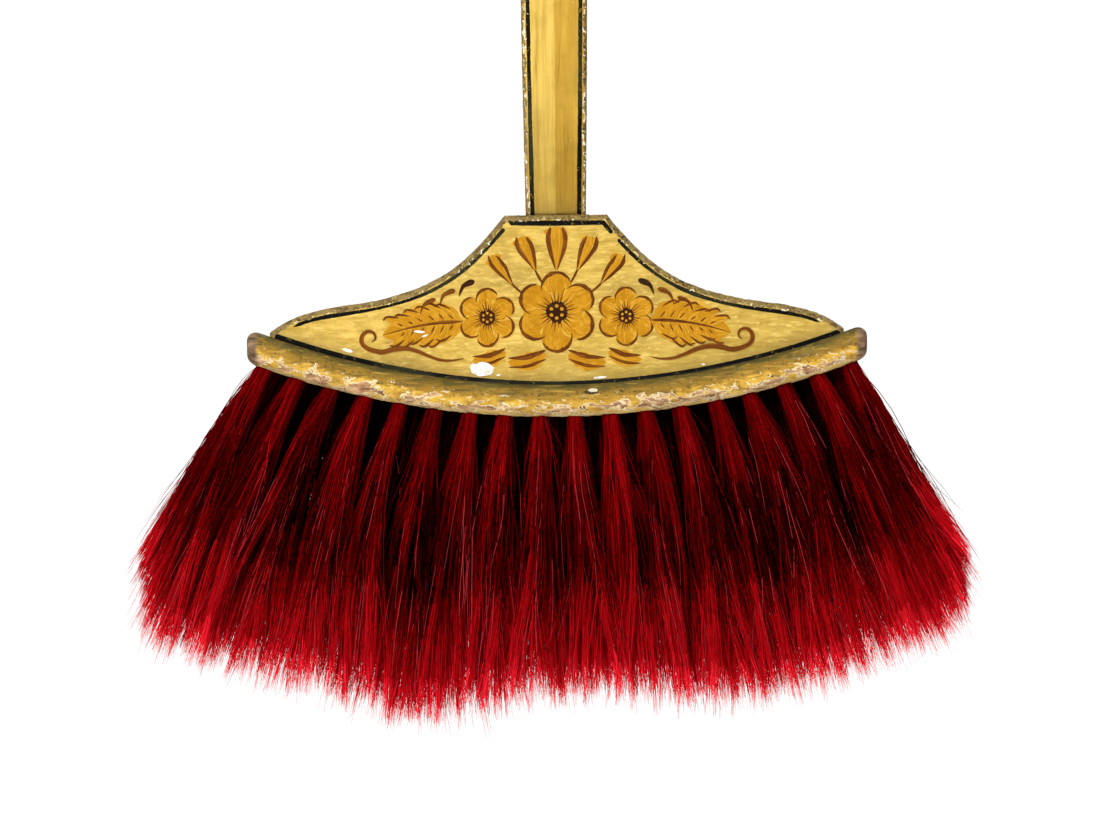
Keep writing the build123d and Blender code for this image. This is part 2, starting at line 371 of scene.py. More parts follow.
class RailPaint(Nodes):
    """The rail's paint: grimy under the board, golden at its belly and worn through to wood along its foot.
    The mesh gives drop, from 0 at the rail's top to 13 at its foot as seen from the front, and ends."""

    def __init__(self):
        super().__init__("rail_paint", 0.5, 0.09)
        self.long, self.even = self.place((0.35, 1, 1)), self.place()
        self.drop = self.attribute("drop")
        self.broad = self.noise(self.long, 3.0, 4.0, 0.62, 0.5)
        self.patch = self.noise(self.even, 1.6, 4.0, 0.6, 0.4)
        self.streak = self.noise(self.long, 2.0, 3.0, 0.6, 1.0)
        self.grain = self.noise(self.even, 0.9, 3.0, 0.55)
        self.big = self.noise(self.even, 16.0, 3.0, 0.5)
        colour, worn = self.wear(self.gold())
        ends = self.step(self.plus(self.attribute("ends"), self.times(self.patch, 3.0)), 3.0, 5.5)
        grey = [(0.3, (0.060, 0.038, 0.022)), (0.48, (0.18, 0.110, 0.064)), (0.7, (0.38, 0.25, 0.16))]
        colour = self.mix(ends, colour, self.ramp(self.broad, grey))
        colour = self.mix(self.step(self.big, 0.36, 0.58), colour, (0.80, 0.79, 0.76), "MULTIPLY")
        height = self.minus(self.times(self.streak, 0.8), self.times(worn, 0.6))
        height = self.plus(height, self.times(self.grain, 0.5))
        self.finish(self.brad(colour), self.plus(0.38, self.times(self.patch, 0.3)), height, 0.35)

    def gold(self):
        """From grime under the board to bright gold along the belly, and paler below it."""
        level = self.plus(self.plus(self.drop, self.swing(self.broad, 7.0)), self.swing(self.big, 3.0))
        colour = self.ramp(self.math("DIVIDE", level, 2 * RAIL_BEAD), [
            (0.00, (0.070, 0.060, 0.016)), (0.10, (0.13, 0.100, 0.020)), (0.24, (0.26, 0.155, 0.020)),
            (0.50, (0.40, 0.220, 0.024)), (0.80, (0.54, 0.315, 0.040))])
        colour = self.stain(colour, self.patch, 0.53, 0.64, (0.13, 0.080, 0.022), 0.7)
        film = self.noise(self.place((0.12, 1, 1)), 1.6, 4.0, 0.65, 0.3)
        colour = self.stain(colour, film, 0.54, 0.66, (0.085, 0.065, 0.022), 0.65)
        clean = self.inverse(self.step(film, 0.34, 0.44))
        colour = self.mix(self.times(clean, 0.6), colour, (0.55, 0.34, 0.06))
        bright = self.step(self.plus(self.drop, self.swing(self.streak, 9.0)), 5.4, 8.4)
        belly = [(0.34, (0.38, 0.20, 0.032)), (0.48, (0.64, 0.38, 0.055)), (0.64, YELLOW)]
        colour = self.mix(bright, colour, self.ramp(self.noise(self.long, 3.4, 3.0, 0.6), belly))
        low = self.plus(self.drop, self.swing(self.patch, 6.0))
        return self.stain(colour, low, 11.0, 12.2, (0.78, 0.55, 0.20), 0.8)

    def wear(self, colour):
        """Below the belly the paint has broken away in islands, down to a pale ground and bare wood."""
        rise = self.math("MINIMUM", self.times(self.minus(self.drop, 7.8), 0.42),
                         self.times(self.minus(12.6, self.drop), 0.42))
        island = self.noise(self.place((0.5, 1, 1), (3.1, 0, 0)), 3.5, 3.5, 0.62, 0.5)
        broken = self.plus(self.times(self.minus(island, 0.53), 10.0), rise)
        bare = [(0.34, (0.22, 0.110, 0.045)), (0.48, (0.47, 0.25, 0.120)), (0.64, (0.74, 0.48, 0.26))]
        colour = self.stain(colour, broken, 0.0, 0.10, (0.86, 0.70, 0.42))
        worn = self.step(self.minus(broken, self.plus(0.10, self.times(self.grain, 0.8))), 0.0, 0.12)
        colour = self.mix(worn, colour, self.ramp(self.noise(self.long, 2.6, 4.0, 0.6), bare))
        scratch = self.step(self.noise(self.long, 1.3, 3.0, 0.6, 0.8), 0.63, 0.66)
        colour = self.mix(self.times(scratch, self.step(self.drop, 2.0, 9.0)), colour, (0.84, 0.76, 0.56))
        dents = self.noise(self.even, 1.3, 2.0, 0.5, 0.5)
        return self.stain(colour, dents, 0.68, 0.70, (0.030, 0.022, 0.010)), worn

    def brad(self, colour):
        """The head of a small brad showing through the paint in front, with grime caught under it."""
        y = self.add("ShaderNodeSeparateXYZ", {"Vector": self.even}).outputs["Y"]
        front = self.math("LESS_THAN", y, 0.0)
        for x, z, radius, tone in ((13.6, BOARD_TOP - 73.0, 0.95, (0.040, 0.028, 0.012)),
                                   (14.4, BOARD_TOP - 72.2, 0.75, (0.62, 0.55, 0.38))):
            spot = self.place((0.36, 0, 1), (-0.36 * x, 0, -z))
            away = self.add("ShaderNodeVectorMath", {0: spot}, operation="LENGTH").outputs["Value"]
            away = self.plus(away, self.swing(self.grain, 1.2))
            head = self.inverse(self.step(away, radius - 0.1, radius + 0.1))
            colour = self.mix(self.times(front, head), colour, tone)
        return colour


board_paint = PaintedWood("board_paint", (0.16, 1, 1), dirt=1.0, rubbing=0.35, rim=2.35, ridged=False).mat
handle_paint = PaintedWood("handle_paint", (1, 1, 0.05), dirt=0.8, rubbing=0.3, rim=1.35, ridged=True).mat
rail_mat = RailPaint().mat


# ------------------------------------------------------------------ head board
CHAMFER = 1.2
TOP_HALF = 21.0  # half the width of the board's level top
RIM_ROUND = 1.9


def rail_top_z(x):
    return ARC_Z - np.sqrt(R_TOP**2 - x**2)


def flank_points():
    """The board's top edge from its middle to its tip, read from the CAD solid."""
    co = coordinates(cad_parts["head_board"].data)
    wall = co[np.abs(co[:, 1] - co[:, 1].min() - CHAMFER) < 0.1]
    wall = wall[wall[:, 2] > rail_top_z(wall[:, 0]) + 1.0]
    x, first = np.unique(np.round(np.abs(wall[:, 0]), 3), return_index=True)
    z = wall[first, 2]
    flank = x > TOP_HALF + 0.2
    return np.concatenate([[0, TOP_HALF], x[flank]]), np.concatenate([[BOARD_TOP, BOARD_TOP], z[flank]])


FLANK = flank_points()
TIP_X = FLANK[0].max()


def board_top_z(x):
    return np.interp(np.abs(x), *FLANK)


def nearest_on_outline(x, z):
    """Distance from points to the board's top outline, and how far along it from the middle."""
    level = np.linspace(0.5 - TOP_HALF, TOP_HALF - 0.5, 40)
    px = np.concatenate([np.linspace(-TIP_X, -TOP_HALF, 260), level, np.linspace(TOP_HALF, TIP_X, 260)])
    pz = board_top_z(px)
    run = np.concatenate([[0], np.cumsum(np.hypot(np.diff(px), np.diff(pz)))])
    run -= np.interp(0, px, run)
    best = np.full(x.shape, 1e9)
    along = np.zeros(x.shape)
    for i in range(len(px) - 1):
        dx, dz = px[i + 1] - px[i], pz[i + 1] - pz[i]
        t = np.clip(((x - px[i]) * dx + (z - pz[i]) * dz) / (dx * dx + dz * dz), 0, 1)
        d = np.hypot(x - px[i] - t * dx, z - pz[i] - t * dz)
        near = d < best
        best[near] = d[near]
        along[near] = (run[i] + t * (run[i + 1] - run[i]))[near]
    return best, along


def board_stripe(x, dist, along):
    """How far inside the black stripe each point is, with the painter's breaks at the two corners."""
    half = np.interp(np.abs(x), [0, 21, 24, 60, 95, 106, 109.5], [1.12, 1.05, 0.85, 0.85, 0.9, 0.75, -0.3])
    centre = np.interp(np.abs(x), [0, 21, 26, 80, 110], [3.5, 3.4, 3.3, 3.5, 3.2])
    gaps = 0
    for side, middle, reach in ((-1, 2.6, 1.7), (1, 9.0, 1.5)):
        gaps = gaps + np.exp(-(((np.abs(along) - TOP_HALF - middle) / reach) ** 4)) * (side * x > 0)
    half = half * (1 + 0.12 * wobble([along], 30.0, 9)) - 2.5 * gaps
    return half - np.abs(dist - centre)


def build_board():
    """The two faces with their rounded rims, and the narrow walls that close them."""
    cols, rows, across = 473, 84, 13
    x = np.linspace(-TIP_X, TIP_X, cols)
    top, foot = board_top_z(x), rail_top_z(x)
    t = np.linspace(0, 1, rows) ** 1.55
    X = np.broadcast_to(x, (rows, cols)).copy()
    Z = top - (top - foot) * t[:, None]
    dist, along = nearest_on_outline(X, Z)
    nick = 0.11 * wobble([along], 5.0, 3) + 0.05 * wobble([along], 1.8, 4)
    # the rim is rounded over, by a little more or less as it goes
    r = RIM_ROUND * (1 + 0.35 * wobble([along], 9.0, 8))
    inside = np.clip(dist, 0, r)
    depth = r - np.sqrt(np.maximum(r**2 - (r - inside) ** 2, 0))
    flat = 0.03 * wobble([X, Z], 14.0, 5)
    nicked = Z + np.exp(-dist / 1.2) * (nick - 0.1) * (t[:, None] < 0.999)
    # the black line along the foot
    foot_gap = R_TOP - np.hypot(X, ARC_Z - Z)
    quirk = np.interp(X, [-118, -60, 0, 60, 118], [2.3, 1.9, 1.45, 1.7, 1.9]) - foot_gap
    values = {"edge": dist, "line": board_stripe(X, dist, along), "foot": foot_gap, "quirk": quirk}
    patches = Patches()
    faces = []
    for sign in (-1, 1):
        faces.append(np.stack([X, sign * (BOARD_HALF - depth - flat), nicked], -1))
        patches.add(faces[-1], grid_quads(rows, cols, flip=sign < 0), **values)
    # the walls along the top, along the foot and at the two tips
    s, shut = (w[:, None] for w in closing(across))
    on_wall = {"edge": 2 * BOARD_HALF * np.minimum(s, 1 - s), "line": -3.0, "foot": 20.0, "quirk": -3.0}
    for pick, flip in ((np.s_[0], True), (np.s_[-1], False), (np.s_[:, 0], False), (np.s_[:, -1], True)):
        front, back = faces[0][pick], faces[1][pick]
        strip = front[None] * (1 - s[..., None]) + back[None] * s[..., None]
        own = {key: value[pick][None] * (1 - shut) + on_wall[key] * shut for key, value in values.items()}
        patches.add(strip, grid_quads(across, len(front), flip), **own)
    verts, quads, attributes = patches.joined()
    o = make_mesh("painted_head_board", verts, quads, [board_paint], attributes=attributes)
    merge_seams(o)
    return o


board = build_board()
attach(board, "root")
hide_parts("head_board")


# ------------------------------------------------------------------ painted flowers
TAN = [(0.39, 0.168, 0.005), (0.44, 0.198, 0.007), (0.50, 0.235, 0.011), (0.57, 0.295, 0.026)]
BROWN = [(0.085, 0.022, 0.003), (0.130, 0.036, 0.004), (0.20, 0.062, 0.007)]
DEEP = [(0.030, 0.009, 0.003), (0.055, 0.015, 0.004)]
WASH = (0.565, 0.325, 0.040)
flower_paints = []
for name, shades in (("petal_tan", TAN), ("leaf_brown", BROWN), ("deep_brown", DEEP)):
    flower_paints += [plain(f"{name}_{i}", c, 0.5, 0.06) for i, c in enumerate(shades)]
flower_paints.append(plain("thin_tan", WASH, 0.5, 0.06))
# for each tone, its first paint and how many shades of it there are
TONES = {"tan": (0, 4), "light": (1, 3), "brown": (4, 3), "deep": (7, 2), "wash": (9, 1)}
# how a stroke's width runs, from its start at t = 0 to its end at 1
PROFILES = {
    "leaf": lambda t: np.sin(np.pi * t**0.85) ** 0.75,
    "comma": lambda t: np.clip(t / 0.16, 0, 1) ** 0.5 * (1 - t) ** 0.75,
    "tail": lambda t: np.clip((1 - t) / 0.16, 0, 1) ** 0.5 * t**0.75,
    "round": lambda t: np.sqrt(np.clip(1 - (2 * t - 1) ** 2, 0, 1)),
    "line": lambda t: np.clip(t / 0.12, 0, 1) ** 0.6 * np.clip((1 - t) / 0.3, 0, 1) ** 0.6,
}
FIRST_LIFT, LAYER_LIFT = 0.06, 0.010  # how proud of the board the paint lies
strokes = Patches()
boxes = []  # each stroke's extent and the layer it lies in
brush = np.random.default_rng(7)


def curve_through(points, steps):
    """A smooth line through points (Catmull-Rom)."""
    p = np.array(points, float)
    if len(p) == 2:
        p = np.array([p[0], (p[0] + p[1]) / 2, p[1]])
    p = np.concatenate([[2 * p[0] - p[1]], p, [2 * p[-1] - p[-2]]])
    spans = len(p) - 3
    out = []
    for q in np.linspace(0, spans, steps):
        i = min(int(q), spans - 1)
        t = q - i
        a, b, c, d = p[i:i + 4]
        square, cube = 2 * a - 5 * b + 4 * c - d, 3 * b - a - 3 * c + d
        out.append(0.5 * (2 * b + (c - a) * t + square * t**2 + cube * t**3))
    return np.array(out)


def layer_for(low, high):
    """The layer in which a stroke between these corners lies clear of all the strokes under it."""
    layer = 1 + max([k for lo, hi, k in boxes if (lo < high).all() and (low < hi).all()], default=0)
    boxes.append((low, high, layer))
    return layer


def stroke(points, width, profile="leaf", tone="tan", streaks=None, steps=26):
    """One brush stroke on the board's face: points are (right of middle, below the board's top)."""
    first, shades = TONES[tone]
    streaks = streaks or max(3, int(width / 0.42))
    line = curve_through(points, steps)
    t = np.linspace(0, 1, steps)
    tangent = np.gradient(line, axis=0)
    tangent /= np.linalg.norm(tangent, axis=1, keepdims=True) + 1e-9
    normal = np.stack([-tangent[:, 1], tangent[:, 0]], -1)
    half = width / 2 * PROFILES[profile](t) + 0.02
    seed = int(brush.integers(1e6))
    left = half * (1 + 0.13 * wobble([t * 20], 5.0, seed))
    right = half * (1 + 0.13 * wobble([t * 20], 5.0, seed + 1))
    s = np.linspace(0, 1, streaks + 1)
    offset = -left[:, None] * (1 - s) + right[:, None] * s
    uv = line[:, None] + normal[:, None] * offset[..., None]
    lift = FIRST_LIFT + LAYER_LIFT * layer_for(uv.reshape(-1, 2).min(0), uv.reshape(-1, 2).max(0))
    v = np.stack([uv[..., 0], np.full(uv.shape[:2], -(BOARD_HALF + lift)), BOARD_TOP - uv[..., 1]], -1)
    bristles = brush.normal(0, 0.55, streaks)[None]
    depth = bristles + 0.5 * wobble(np.meshgrid(t[:-1] * 12, s[:-1] * 9, indexing="ij"), 4.0, seed + 2)
    slot = first + np.clip(np.round((shades - 1) / 2 + depth * shades / 3.2), 0, shades - 1).astype(int)
    strokes.add(v, grid_quads(steps, streaks + 1), slot=slot)


def at(centre, radius, angle):
    """A point at an angle in degrees, anticlockwise from the right, round centre."""
    a = math.radians(angle)
    return centre[0] + radius * math.cos(a), centre[1] - radius * math.sin(a)


def arc(centre, radius, start, end, width, profile):
    stroke([at(centre, radius, a) for a in np.linspace(start, end, 7)], width, profile, "brown")


def blob(centre, rx, ry, turn=0.0, tone="tan", streaks=None):
    """A rounded dab of paint; a tan one thins out at its edge."""
    dabs = [(0.5, "wash", None)] if tone == "tan" else []
    for more, paint, split in (*dabs, (0.0, tone, streaks)):
        ends = at(centre, rx + more, turn + 180), at(centre, rx + more, turn)
        stroke([ends[0], centre, ends[1]], 2 * ry + 2 * more, "round", paint, split)


def leaf(points, width, barbs):
    """A feathered leaf along points: overlapping dabs of tan, each edged in brown, on a dark midrib."""
    spine = curve_through(points, 60)
    stroke(points, width * 0.90, "leaf", "wash")
    stroke(points, width * 0.74)
    edging = []
    for k in range(barbs):
        i = int(5 + k * 44 / barbs)
        o, q = spine[i], spine[i + 6]
        d = (q - o) / (np.linalg.norm(q - o) + 1e-9)
        for out in (np.array([d[1], -d[0]]), np.array([-d[1], d[0]])):
            reach = width * (0.41 - 0.16 * k / barbs) * (1 + 0.12 * brush.normal())
            b = o + d * 2.6 + out * reach * 0.6
            c = o + d * 6.4 + out * reach
            stroke([o, b, c + d * 1.2], 5.6 - 1.8 * k / barbs)
            edging.append(([b + out * 1.3 - d * 0.6, c + out * 0.6, c + d * 2.4 - out * 0.4], 0.95))
            edging.append(([o + d * 1.2 + out * 1.2, o + d * 3.2 + out * reach * 0.5], 0.6))
    for line, line_width in edging:
        stroke(line, line_width, "leaf", "brown")
    stroke(points, 1.5, "comma", "brown")


def mirrored(points, side):
    return [(side * u, v) for u, v in points]


def both_sides(points, width, profile="leaf", tone="brown", steps=26):
    """The same stroke on the left and on the right of the handle."""
    for side in (-1, 1):
        stroke(mirrored(points, side), width, profile, tone, steps=steps)


def blossom(centre, reach, petals=6):
    """A blossom of even petals, each shaded along one side, with fine lines out of a dotted dark eye."""
    size = 0.39 * reach
    angles = [90.0 + 360.0 / petals * k for k in range(petals)]
    for a in angles:
        blob(at(centre, 0.60 * reach, a), size, size * 0.92, a)
    for a in angles:
        petal = at(centre, 0.60 * reach, a)
        arc(petal, size * 0.95, a + 104, a + 6, 0.125 * reach, "tail")
        arc(petal, size * 0.98, a + 26, a - 66, 0.07 * reach, "line")
        for k in (-22, -8, 8, 22):
            tip = (0.50 + 0.05 * brush.normal()) * reach
            vein = [at(centre, 0.22 * reach, a + k), at(centre, tip, a + k * 0.85)]
            stroke(vein, 0.62, "comma", "brown", 3)
    blob(centre, 0.27 * reach, 0.26 * reach, 0, "deep", 10)
    for a in angles:
        blob(at(centre, 0.15 * reach, a), 0.045 * reach, 0.04 * reach, 0, "light", 3)


def bud(tip, middle, foot, width):
    """A closed bud, broad at its tip and drawn out into its stalk, shaded down both edges."""
    stroke([tip, middle, foot], width + 1.0, "comma", "wash")
    stroke([tip, middle, foot], width, "comma")
    for side, share in ((-1, 0.30), (1, 0.36)):
        edge = [(u + side * share * width * w, v) for (u, v), w in ((tip, 0.7), (middle, 1.0), (foot, 0.1))]
        stroke(edge, 0.2 * width, "leaf", "brown")


# a plain spray, the same on both sides of the handle; places are (right of middle, below the top)
BLOSSOM_AT, BLOSSOM_REACH = (0.0, 40.0), 16.5
SMALL_AT, SMALL_REACH = (28.5, 42.0), 12.0
LEAF_FROM, LEAF_LENGTH, LEAF_WIDTH = (38.5, 43.5), 33.0, 20.0
MIDDLE_BUD = ([(0.0, 5.0), (0.0, 11.0), (0.0, 23.0)], 10.5)
SIDE_BUDS = (([(14.5, 9.0), (12.8, 14.0), (8.6, 23.0)], 8.6),
             ([(26.5, 16.5), (23.6, 21.5), (18.2, 28.5)], 7.4))
WAVE_FROM, WAVE_TO = 38.0, 72.0
CURL_AT, CURL_REACH = (76.5, 50.2), 4.4

# stems first, then the blossoms over them
for (_, middle, foot), _ in SIDE_BUDS:
    both_sides([middle, foot, (0.55 * foot[0], foot[1] + 7.0)], 0.9, "line")
blossom(BLOSSOM_AT, BLOSSOM_REACH)
for side in (-1, 1):
    blossom((side * SMALL_AT[0], SMALL_AT[1]), SMALL_REACH)

# a feathered leaf outside each small blossom, bending with the board
u0, v0 = LEAF_FROM
midrib = [(u0 + LEAF_LENGTH * t, v0 + 5.5 * t * t) for t in (0.0, 0.33, 0.67, 1.0)]
for side in (-1, 1):
    leaf(mirrored(midrib, side), LEAF_WIDTH, 6)
# dark leaflets over the leaves
for k, tone in enumerate(("deep", "brown", "brown")):
    u, v = 33.5 + 8.0 * k, 27.0 + 3.6 * k
    both_sides([(u, v), (u + 4.6, v + 2.0), (u + 6.6, v + 6.4)], 2.9 - 0.4 * k, "comma", tone)

# one bud under the handle and two on each side of it
bud(*MIDDLE_BUD[0], MIDDLE_BUD[1])
for points, width in SIDE_BUDS:
    for side in (-1, 1):
        bud(*mirrored(points, side), width)

# pairs of small leaves along the foot, each shaded above and below
for u, v, size in ((4.5, 57.5, 6.8), (21.0, 56.5, 6.0)):
    for side in (-1, 1):
        body = mirrored([(u, v), (u + 1.15 * size, v + 2.8), (u + 2.3 * size, v + 3.2)], side)
        stroke(body, size + 1.0, "leaf", "wash")
        stroke(body, size)
        for up, share in ((-0.28, 0.3), (0.26, 0.2)):
            stroke([(x, y + up * size) for x, y in body], share * size, "leaf", "brown")

# a running wave under each leaf, which ends in a tendril
tendril = []
for u in np.linspace(WAVE_FROM, WAVE_TO, 8):
    tendril.append((u, 58.6 - 0.10 * (u - WAVE_FROM) + 1.7 * math.sin((u - WAVE_FROM) / 5.1)))
tendril += [at(CURL_AT, CURL_REACH - 0.45 * k, 48 * k - 80) for k in range(8)]
both_sides(tendril, 1.9, steps=90)

verts, faces, slots = strokes.joined()
flowers = make_mesh("painted_flowers", verts, faces, flower_paints, slots["slot"])
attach(flowers, "root")

# chips down to the white ground, where the paint was knocked off
ground = Nodes("bare_ground", 0.8, 0.2)
tint = ground.noise(ground.place(), 2.5, 4.0)
pale = ground.ramp(tint, [(0.32, (0.62, 0.55, 0.42)), (0.5, (0.88, 0.85, 0.78)), (0.8, (0.93, 0.92, 0.88))])
ground.finish(pale, 0.8, tint, 0.1)
CHIP_LIFT = 0.32  # over the uppermost strokes that the chips cross


def chip(u, v, rx, ry, turn, seed):
    """A ragged oval centred at (right of middle, below the top), made of triangles."""
    a = np.linspace(0, 2 * math.pi, 41)[:-1]
    ring = [3 * np.cos(a), 3 * np.sin(a)]
    k = 1 + 0.09 * wobble(ring, 2.4, seed) + 0.03 * wobble(ring, 0.8, seed + 1)
    c, s = math.cos(math.radians(turn)), math.sin(math.radians(turn))
    rim = np.stack([np.cos(a) * rx * k, np.sin(a) * ry * k], -1) @ np.array([[c, s], [-s, c]])
    rings = np.concatenate([rim, rim * 0.5, [[0, 0]]])
    y = np.full(len(rings), -(BOARD_HALF + CHIP_LIFT))
    verts = np.stack([u + rings[:, 0], y, BOARD_TOP - v + rings[:, 1]], -1)
    n = len(a)
    i = np.arange(n)
    j = (i + 1) % n
    return verts, np.concatenate([np.stack([i, j, n + j], -1), np.stack([i, n + j, n + i], -1),
                                  np.stack([n + i, n + j, np.full(n, 2 * n)], -1)])


# right of middle, below the top, half width, half height, turn in degrees, seed
CHIPS = [(-31.0, 63.2, 4.9, 2.9, -4, 51), (17.5, 67.0, 2.6, 0.5, 4, 53), (-86.0, 55.0, 2.3, 0.7, -16, 55),
         (-56.5, 47.6, 2.3, 0.5, -5, 57), (-54.0, 49.2, 1.3, 0.4, 20, 59), (60.0, 62.0, 0.8, 0.4, 0, 61),
         (-24.0, 65.6, 0.9, 0.4, 10, 63)]
chips = Patches()
for one in CHIPS:
    chips.add(*chip(*one))
verts, faces, _ = chips.joined()
chip_piece = make_mesh("ground_chips", verts, faces, [ground.mat])
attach(chip_piece, "root")


# ------------------------------------------------------------------ rail
END_ROUND = 2.2  # the rounding of the rail's end faces
TOP_CORNER, FOOT_CORNER = 5.5, 3.0  # the rounding of its ends in the front view


def rail_section(around):
    """The section's depth and height: over the foot and the front bead, then the same turned over."""
    flat, bead = 2 * RAIL_FLAT, math.pi * RAIL_BEAD
    run = np.linspace(0, 1, around, endpoint=False)[:around // 2] * 2 * (flat + bead)
    turn = np.clip((run - flat) / bead, 0, None) * math.pi
    y = np.where(run < flat, RAIL_FLAT - run, -RAIL_FLAT - RAIL_BEAD * np.sin(turn))
    h = -RAIL_BEAD * np.cos(turn)
    return np.concatenate([y, -y]), np.concatenate([h, -h])


def build_rail():
    """A bent bar of that section, worn a little uneven, with rounded ends."""
    around = 112
    a = np.linspace(0, 1, 7)[1:] * math.pi / 2
    edge_x = RAIL_HALF - END_ROUND + END_ROUND * np.sin(a)
    edge_in = END_ROUND * (1 - np.cos(a))
    straight = np.linspace(-RAIL_HALF + END_ROUND, RAIL_HALF - END_ROUND, 560)
    x = np.concatenate([-edge_x[::-1], straight, edge_x])
    inset = np.concatenate([edge_in[::-1], np.zeros(len(straight)), edge_in])
    y, h = rail_section(around)
    X = np.broadcast_to(x[:, None], (len(x), around))
    grow = 1 - inset[:, None] / RAIL_BEAD
    H = h * grow
    beyond = np.maximum(np.abs(y) - RAIL_FLAT, 0)
    Y = np.sign(y) * np.minimum(np.abs(y), RAIL_FLAT) + np.sign(y) * beyond * grow
    places = [X, 3 * H, 3 * Y]
    worn = 0.10 * wobble(places, 9.0, 11) + 0.07 * wobble(places, 3.0, 12)
    worn = worn * np.clip(1.0 - H / RAIL_BEAD, 0.25, 1.4)
    R = R_MID - H * (1 + worn / RAIL_BEAD)
    Y = Y * (1 + worn / 17)
    Z = ARC_Z - np.sqrt(R**2 - X**2)
    past = np.abs(X) - RAIL_HALF
    for radius, at_radius, side in ((TOP_CORNER, R_TOP, 1), (FOOT_CORNER, R_FOOT, -1)):
        corner = ARC_Z - math.sqrt(at_radius**2 - RAIL_HALF**2)
        t = np.clip(past + radius, 0, radius)
        drop = radius - np.sqrt(radius**2 - t**2) + (-past).clip(0, radius) * 0.36 * side
        limit = side * np.minimum(side * Z, side * corner - drop)
        Z = np.where(past > -radius, limit, Z)
    verts = np.stack([X, Y, Z], -1)
    patches = Patches()
    patches.add(verts, tube_quads(len(x), around), drop=RAIL_BEAD - H, ends=np.clip(past + 7, 0, 7))
    # flat ends
    shrink = np.array([1.0, 0.72, 0.4, 0.02])[:, None, None]
    for row, order in ((0, -1), (-1, 1)):
        centre = verts[row].mean(0)
        patches.add(centre + (verts[row][None] - centre) * shrink, tube_quads(4, around)[:, ::order],
                    drop=np.tile(RAIL_BEAD - H[row], 4), ends=np.full(4 * around, 7.0))
    verts, quads, attributes = patches.joined()
    o = make_mesh("painted_rail", verts, quads, [rail_mat], attributes=attributes)
    merge_seams(o)
    return o


rail = build_rail()
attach(rail, "root")
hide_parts("tuft_rail")


# ------------------------------------------------------------------ handle
LENGTH = OVERALL - BOARD_TOP
CROWN = 21.5  # the radius of the rounded top
RIDGE_Y, EDGE_Y = 7.5, 6.2  # half the depth at the ridge and at the edges
EDGE_ROUND = 1.6


def handle_section():
    """The section, from right to left over the front and back over the rear, as parts of: the face's half
    width, the edge's half depth, and the way round the edge's rounding."""
    over = np.linspace(0.04, 1, 11)
    bend = np.linspace(0, 1, 5)[1:-1]
    half = [(f, -1, 0) for f in (*over[::-1], 0.0, *-over)]
    half += [(-1, -1, b) for b in bend]
    half += [(-1, 2 * w - 1, 1) for w in (0.0, 0.35, 0.65, 1.0)]
    half += [(-1, 1, b) for b in bend[::-1]]
    return half + [(-f, -s, b) for f, s, b in half]


def section_point(w, f, s, b):
    """A point of the section, on a bar of half width w, and how far it is inside the face's edge."""
    c = EDGE_ROUND
    if b == 0:
        x = f * (w - c)
        return x, s * (RIDGE_Y + (EDGE_Y - RIDGE_Y) * abs(f)), w - abs(x)
    if b == 1:
        return math.copysign(w, f), s * (EDGE_Y - c), 0.4 + (EDGE_Y - c) * (1 - abs(s))
    a = b * math.pi / 2
    x, y = w - c + c * math.sin(a), EDGE_Y - c + c * math.cos(a)
    return math.copysign(x, f), math.copysign(y, s), 0.4 + 0.9 * (1 - b)


def handle_stripe(inset, top_gap, z):
    """How far inside the black stripe each point is: down both edges of a face and round under the top."""
    inwards, below, half = 2.85, 4.0, 1.0
    side = half - np.abs(inset - inwards)
    cap = half - np.abs(top_gap - below)
    inner = np.minimum(inset - inwards + half, top_gap - below + half)
    line = np.where(top_gap < below + half, np.minimum(np.maximum(cap, side), inner), side)
    return np.where(inset < 0, -1.0, line + 0.12 * wobble([z], 40.0, 23))


